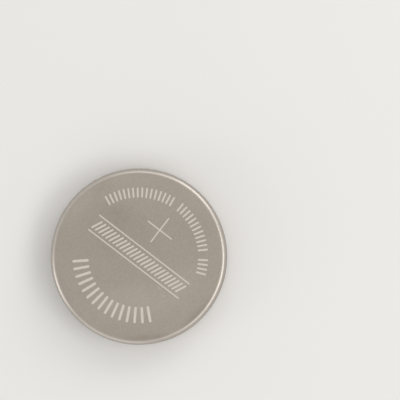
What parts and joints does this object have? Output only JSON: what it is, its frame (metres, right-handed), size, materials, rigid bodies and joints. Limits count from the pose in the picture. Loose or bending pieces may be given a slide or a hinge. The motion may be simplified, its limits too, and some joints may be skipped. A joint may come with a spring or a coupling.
{
  "type": "lithium coin cell",
  "caption": "Round lithium coin cell: steel can crimped over a plastic gasket and a stepped cap, with cathode pellet, separator and lithium disc sealed inside.",
  "frame": {"origin": "centre of the negative cap's contact face, the cell's lowest face", "axes": "+Z along the cell's axis, out of the positive can's marked face; +X right and +Y up as the picture shows that face"},
  "size_m": [0.0244, 0.0244, 0.005],
  "materials": {
    "can_steel": "satin, rolled sheet with a faint straight grain",
    "cap_steel": "satin, rolled sheet with a faint straight grain",
    "gasket_plastic": "moulded polypropylene, slightly waxy",
    "ring_steel": "bare stainless sheet",
    "pellet": "pressed powder, matte black",
    "separator_cloth": "non-woven, white",
    "lithium": "rolled foil, dull silver"
  },
  "bodies": {
    "root": {"positive_can": "can_steel", "negative_cap": "cap_steel", "gasket": "gasket_plastic", "cathode_ring": "ring_steel", "cathode_pellet": "pellet", "separator": "separator_cloth", "lithium_anode": "lithium"}
  },
  "joints": []
}
